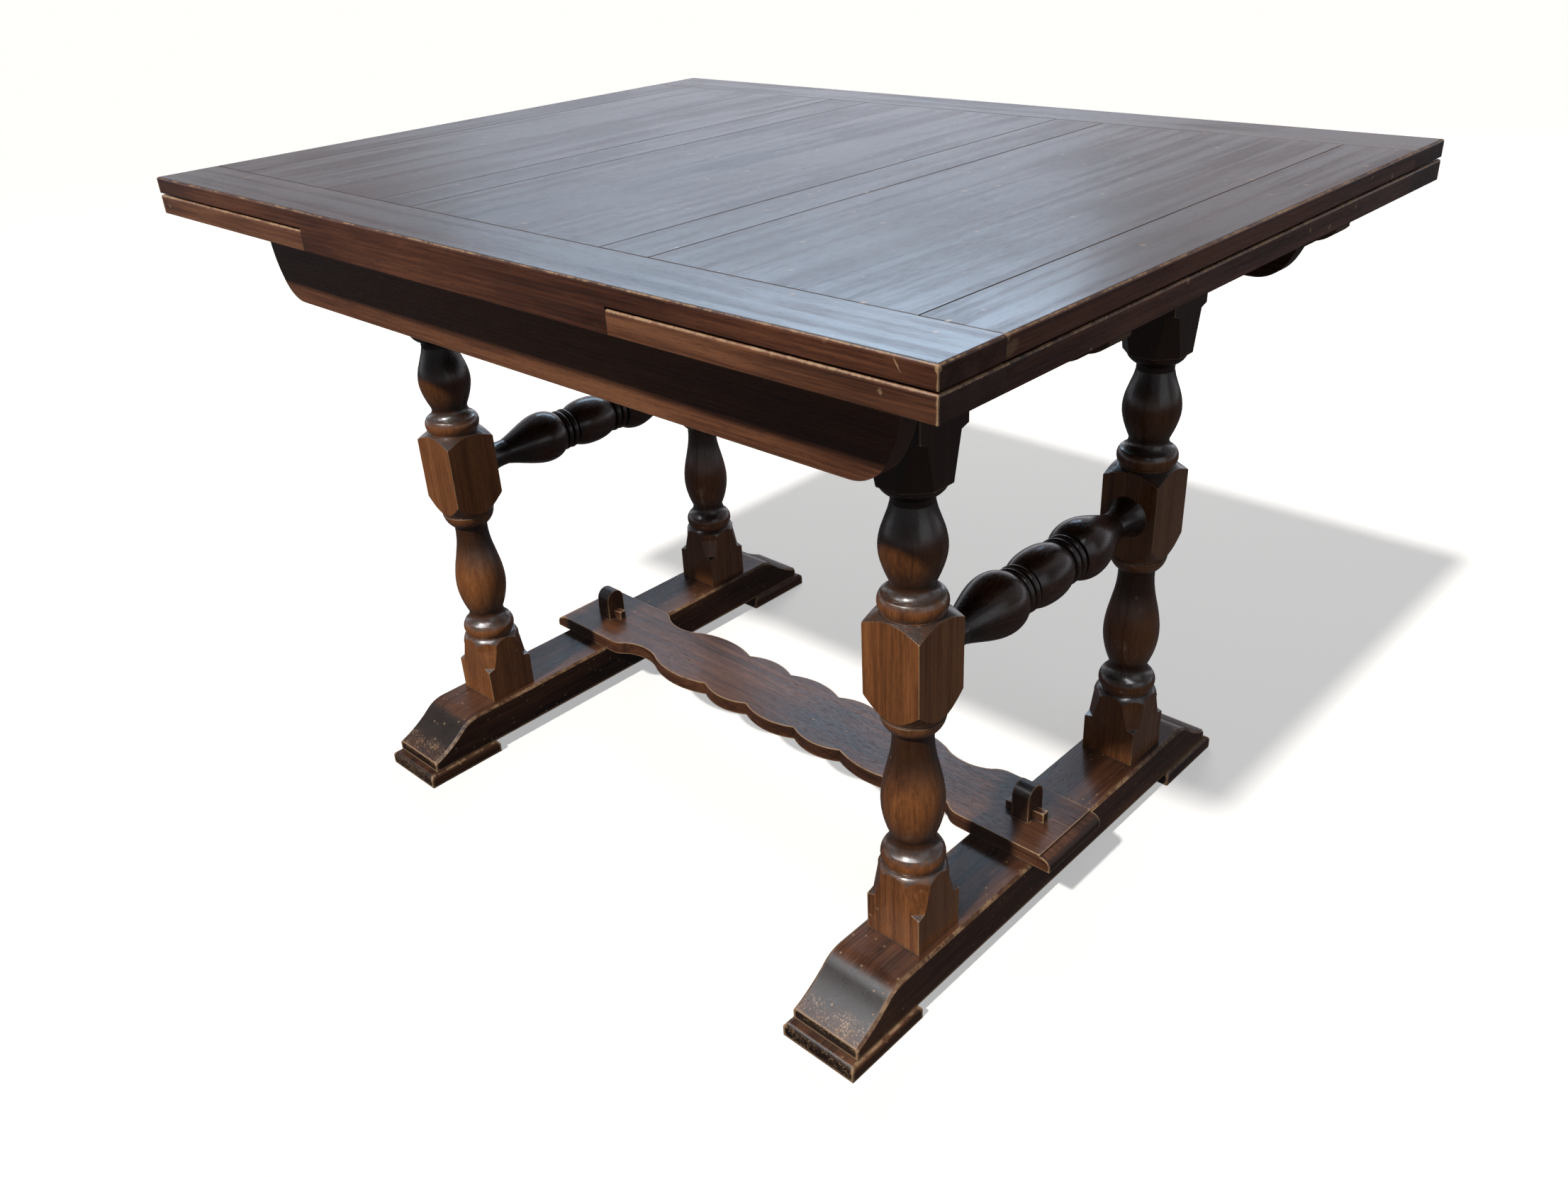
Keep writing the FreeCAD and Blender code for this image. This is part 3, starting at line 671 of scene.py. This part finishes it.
class TABLE_OT_dress_leaves(bpy.types.Operator):
    """Panels and borders of the two draw leaves"""
    bl_idname = "table.dress_leaves"
    bl_label = "Finish the draw leaves"
    first_seed = 21.0

    def execute(self, context):
        names = [node for node in nodes_named("leaf_") if "panel" in node or "border" in node]
        for number, node in enumerate(names):
            grain = "x" if node.endswith(("front", "back")) else "y"
            box = shared_box(node)
            kind = "board" if "outer" in node else "leaf"
            wood = Oak(node, grain, self.first_seed + number, stains(kind))
            wood.grow()
            wood.darken_ends(amount=0.85, start=0.6)
            wood.seam(box, width=0.0011, amount=0.8)
            wood.soil_and_shade(reach=0.0015)
            wood.dent(scale=75.0, share=0.20, amount=0.60)
            wood.rub_outline(box, width=0.0045, amount=0.95, lower=0.2)
            dress(node, wood.polish(gloss=0.38, specular=0.3, varnish=0.5))
        return {"FINISHED"}


class TABLE_OT_dress_frame(bpy.types.Operator):
    """Aprons and head rails"""
    bl_idname = "table.dress_frame"
    bl_label = "Finish the frame"
    first_seed = 41.0

    def execute(self, context):
        for number, node in enumerate(nodes_named("apron", "head_rail")):
            kind = "leaf" if node.startswith("apron") else "board"
            grain = "x" if kind == "leaf" else "y"
            wood = Oak(node, grain, self.first_seed + number, stains(kind))
            wood.grow()
            wood.darken_ends(amount=0.75, start=0.7)
            wood.soil_and_shade(reach=0.004)
            wood.rub_edges(width=0.003, amount=0.30)
            dress(node, wood.polish(gloss=0.42, specular=0.4))
        return {"FINISHED"}


class TABLE_OT_dress_legs(bpy.types.Operator):
    """Turned legs"""
    bl_idname = "table.dress_legs"
    bl_label = "Finish the legs"
    first_seed = 51.0

    def execute(self, context):
        for number, node in enumerate(nodes_named("leg_")):
            wood = Oak(node, "z", self.first_seed + number, stains("turned"))
            wood.grow(spread=0.17)
            wood.darken_ends(amount=0.6, start=0.55)
            wood.darken_necks(middle_of(node), inner=0.021, outer=0.031, amount=0.85)
            # Painted shade on the upper legs
            wood.paint_shade_upwards(low=0.42, high=0.58, amount=0.90)
            wood.wax(amount=0.85, start=0.10, end=0.55)
            wood.soil_and_shade(reach=0.010, start=0.2, end=0.75)
            wood.dent(scale=70.0, share=0.06, amount=0.35)
            wood.rub_edges(width=0.0026, amount=0.75, start=0.12, end=0.40)
            dress(node, wood.polish(gloss=0.27, specular=0.5, varnish=0.8))
        return {"FINISHED"}


class TABLE_OT_dress_cross_stretchers(bpy.types.Operator):
    """Turned stretchers of the trestles"""
    bl_idname = "table.dress_cross_stretchers"
    bl_label = "Finish the cross stretchers"
    first_seed = 61.0

    def execute(self, context):
        for number, node in enumerate(nodes_named("cross_stretcher")):
            wood = Oak(node, "y", self.first_seed + number, stains("base"))
            wood.grow()
            wood.darken_necks(middle_of(node), inner=0.020, outer=0.031, amount=0.8)
            wood.soil_and_shade(reach=0.008, start=0.2, end=0.75)
            wood.rub_edges(width=0.0022, amount=0.25)
            dress(node, wood.polish(gloss=0.26, specular=0.5, varnish=0.4))
        return {"FINISHED"}


class TABLE_OT_dress_feet(bpy.types.Operator):
    """Sledge feet and their pads"""
    bl_idname = "table.dress_feet"
    bl_label = "Finish the feet"
    first_seed = 71.0

    def execute(self, context):
        for number, node in enumerate(nodes_named("foot_")):
            wood = Oak(node, "y", self.first_seed + number, stains("base"))
            wood.grow()
            wood.darken_ends(amount=0.95, start=0.25)
            wood.soil_and_shade(reach=0.006, start=0.2, end=0.7)
            wood.dent(scale=110.0, share=0.50, amount=0.6)
            wood.scuff(low=0.0, high=0.018, amount=0.45)
            wood.scuff(low=0.022, high=0.044, amount=0.65)
            wood.rub_edges(width=0.0045, amount=0.85, start=0.07, end=0.28)
            wood.rub_chamfers(SIDEWAYS, amount=0.75)
            dress(node, wood.polish(gloss=0.28, specular=0.34))
        return {"FINISHED"}


class TABLE_OT_dress_floor_stretcher(bpy.types.Operator):
    """Scalloped floor stretcher with its pegs and wedges"""
    bl_idname = "table.dress_floor_stretcher"
    bl_label = "Finish the floor stretcher"

    # Grain and first seed of each kind of piece
    kinds = {
        "floor_stretcher": ("x", 96.0),
        "tusk_peg": ("z", 89.0),
        "tusk_wedge": ("x", 91.0),
    }

    def execute(self, context):
        for start, (grain, first_seed) in self.kinds.items():
            for number, node in enumerate(nodes_named(start)):
                wood = Oak(node, grain, first_seed + number, stains("base"))
                wood.grow()
                wood.darken_ends(amount=0.7, start=0.5)
                wood.soil_and_shade(reach=0.006, start=0.2, end=0.7)
                wood.dent(scale=80.0, share=0.10, amount=0.35)
                wood.rub_edges(width=0.0035, amount=0.85, start=0.12, end=0.42)
                dress(node, wood.polish(gloss=0.34, specular=0.5))
        return {"FINISHED"}


class TABLE_OT_dress_inside(bpy.types.Operator):
    """Centre board, lopers, blocks and pegs inside the frame"""
    bl_idname = "table.dress_inside"
    bl_label = "Finish the inside"
    first_seed = 91.0

    def execute(self, context):
        names = nodes_named("centre_board", "corner_block", "glue_block", "guide_peg", "keeper_pin")
        names += [node for node in nodes_named("leaf_") if "loper" in node or "stop_peg" in node]
        for number, node in enumerate(names):
            grain = "z" if "peg" in node or "corner" in node else "x"
            if node == "centre_board":
                grain = "y"
            wood = Oak(node, grain, self.first_seed + number, stains("inner"))
            wood.grow()
            wood.darken_ends(amount=0.4, start=0.7)
            wood.soil_and_shade(reach=0.0015)
            dress(node, wood.polish(gloss=0.58, specular=0.3))
        return {"FINISHED"}


class TABLE_OT_set_stage(bpy.types.Operator):
    """Pale floor, soft lamps and the camera"""
    bl_idname = "table.set_stage"
    bl_label = "Set the stage"

    def execute(self, context):
        stage = context.scene.table_stage
        self.lay_floor(context.scene, stage)
        self.light_room(context.scene, stage)
        self.hang_lamps(context.scene, stage)
        self.place_camera(context.scene, stage)
        context.scene.view_settings.view_transform = "Standard"
        return {"FINISHED"}

    @staticmethod
    def lay_floor(scene, stage, reach=40.0):
        """Pale floor that shows to the camera and takes the shadow, but doesn't light the table."""
        shape = bmesh.new()
        bmesh.ops.create_grid(shape, x_segments=1, y_segments=1, size=reach)
        mesh = bpy.data.meshes.new("floor")
        shape.to_mesh(mesh)
        shape.free()
        floor = bpy.data.objects.new("floor", mesh)
        floor.visible_diffuse = False
        floor.visible_glossy = False
        scene.collection.objects.link(floor)
        material = bpy.data.materials.new("floor")
        finish = Finish(material)
        matt = finish.node("ShaderNodeBsdfDiffuse", inputs={"Color": stage.floor[:]})
        glow = finish.node("ShaderNodeEmission", inputs={
            "Color": (1, 1, 1), "Strength": stage.floor_glow})
        both = finish.node("ShaderNodeAddShader", inputs={0: matt, 1: glow})
        finish.node("ShaderNodeOutputMaterial", inputs={"Surface": both})
        mesh.materials.append(material)

    @staticmethod
    def light_room(scene, stage):
        """White backdrop, weak even light, and a sky that only the varnish mirrors."""
        bright_side = (-0.64, 0.77, 0.0)
        brightest_side = (-0.47, 0.88, 0.0)
        front_to_back = (-0.35, 0.35)
        off_to_on_side = (0.85, 0.97)
        horizon = (-0.10, -0.03)
        low_to_high = (0.12, 0.20)
        low_gain = 1.50
        high_loss = 1.00
        off_side_gain = 0.75
        on_side_gain = 0.35
        world = bpy.data.worlds.new("room")
        scene.world = world
        finish = Finish(world)
        seen = finish.node("ShaderNodeLightPath", output="Is Camera Ray")
        mirrored = seen.other("Is Glossy Ray").largest(seen.other("Is Transmission Ray"))
        way = finish.node("ShaderNodeTexCoord", output="Generated")
        height = finish.node("ShaderNodeSeparateXYZ", inputs={"Vector": way}, output="Z")
        # The mirrored sky is dim in front and overhead, and brightest low down behind the table
        behind = finish.vector("DOT_PRODUCT", way, bright_side, "Value")
        beside = finish.vector("DOT_PRODUCT", way, brightest_side, "Value")
        pale = stage.shade + (1.0 - stage.shade) * finish.ease(behind, *front_to_back)
        pale = pale * (low_gain - high_loss * finish.ease(height, *low_to_high))
        pale = pale * (off_side_gain + on_side_gain * finish.ease(beside, *off_to_on_side))
        over = stage.room + (1.0 - stage.room) * seen.largest(mirrored * pale)
        under = stage.bounce + (stage.mirrored - stage.bounce) * mirrored
        strength = under + finish.ease(height, *horizon) * (over - under)
        colour = finish.blend(seen, stage.sky[:], stage.backdrop[:])
        glow = finish.node("ShaderNodeBackground", inputs={"Color": colour, "Strength": strength})
        finish.node("ShaderNodeOutputWorld", inputs={"Surface": glow})

    @staticmethod
    def hang_lamps(scene, stage):
        """Key, fill and back lamps, and two lamps that only show as sheen on the varnish."""
        def hang(name, kind, place, aim, energy, colour, **settings):
            lamp = bpy.data.lights.new(name, kind)
            lamp.energy = energy
            lamp.color = colour
            for setting, value in settings.items():
                setattr(lamp, setting, value)
            holder = bpy.data.objects.new(name, lamp)
            holder.location = place
            sight = Vector(aim) - Vector(place)
            holder.rotation_euler = sight.to_track_quat("-Z", "Y").to_euler()
            holder.visible_camera = False
            scene.collection.objects.link(holder)
            return holder

        middle = (0.3, 0.0, 0.4)
        near_corner = (0.42, -0.45, 0.76)
        key_place = (0.23, -2.67, 2.97)
        fill_place = (3.2, -0.4, 1.6)
        back_place = (-1.8, 3.0, 2.2)
        window_place = (-1.85, 1.90, 2.05)
        overhead_place = (0.2, -1.2, 3.2)
        sunny = (1.0, 0.955, 0.89)
        warm = (1.0, 0.97, 0.93)
        cool = (0.90, 0.95, 1.0)
        pale = (0.92, 0.96, 1.0)
        blue = (0.56, 0.77, 1.0)
        wide = {"shape": "RECTANGLE", "size": 2.4, "size_y": 1.8}
        low = {"shape": "RECTANGLE", "size": 2.0, "size_y": 0.45}
        broad = {"shape": "RECTANGLE", "size": 3.6, "size_y": 2.6}
        sun_width = math.radians(3)
        hang("key", "SUN", key_place, ORIGIN, stage.key, sunny, angle=sun_width)
        hang("fill", "AREA", fill_place, middle, stage.fill, cool, **wide)
        back = hang("back", "AREA", back_place, middle, stage.back, warm, **wide)
        back.visible_glossy = False
        window = hang("window", "AREA", window_place, near_corner, stage.window, blue, **low)
        window.visible_diffuse = False
        above = hang("overhead", "AREA", overhead_place, middle, stage.overhead, pale, **broad)
        above.visible_diffuse = False

    @staticmethod
    def place_camera(scene, stage):
        """Camera at the place and with the lens that the stage gives."""
        lens = bpy.data.cameras.new("camera")
        lens.sensor_fit = "HORIZONTAL"
        lens.sensor_width = stage.camera_sensor
        lens.lens = stage.camera_lens
        camera = bpy.data.objects.new("camera", lens)
        heading = Matrix.Rotation(stage.camera_heading, 4, "Z")
        tilt = Matrix.Rotation(math.pi / 2 - stage.camera_tilt, 4, "X")
        roll = Matrix.Rotation(stage.camera_roll, 4, "Z")
        camera.matrix_world = Matrix.Translation(stage.camera_place) @ heading @ tilt @ roll
        scene.collection.objects.link(camera)
        scene.camera = camera


OPERATORS = (
    TABLE_OT_dress_main_top,
    TABLE_OT_dress_leaves,
    TABLE_OT_dress_frame,
    TABLE_OT_dress_legs,
    TABLE_OT_dress_cross_stretchers,
    TABLE_OT_dress_feet,
    TABLE_OT_dress_floor_stretcher,
    TABLE_OT_dress_inside,
    TABLE_OT_set_stage,
)


class TABLE_PT_pieces(bpy.types.Panel):
    """Lists the table's pieces and their settings"""
    bl_idname = "TABLE_PT_pieces"
    bl_label = "Draw-leaf table"
    bl_space_type = "VIEW_3D"
    bl_region_type = "UI"
    bl_category = "Table"

    def draw(self, context):
        for operator in OPERATORS:
            self.layout.operator(operator.bl_idname)
        for group in (context.scene.table_finish, context.scene.table_stage):
            box = self.layout.box()
            for name in group.bl_rna.properties.keys():
                if name not in {"rna_type", "name"}:
                    box.prop(group, name)


CLASSES = (TableFinish, TableStage, *OPERATORS, TABLE_PT_pieces)


def register():
    """Make the classes and the scene's settings known."""
    for each in CLASSES:
        bpy.utils.register_class(each)
    bpy.types.Scene.table_finish = bpy.props.PointerProperty(type=TableFinish)
    bpy.types.Scene.table_stage = bpy.props.PointerProperty(type=TableStage)


def unregister():
    """Take the scene's settings and the classes away again."""
    del bpy.types.Scene.table_stage
    del bpy.types.Scene.table_finish
    for each in reversed(CLASSES):
        bpy.utils.unregister_class(each)


def main():
    """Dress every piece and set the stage."""
    register()
    bpy.ops.table.dress_main_top()
    bpy.ops.table.dress_leaves()
    bpy.ops.table.dress_frame()
    bpy.ops.table.dress_legs()
    bpy.ops.table.dress_cross_stretchers()
    bpy.ops.table.dress_feet()
    bpy.ops.table.dress_floor_stretcher()
    bpy.ops.table.dress_inside()
    bpy.ops.table.set_stage()


if __name__ == "__main__":
    main()
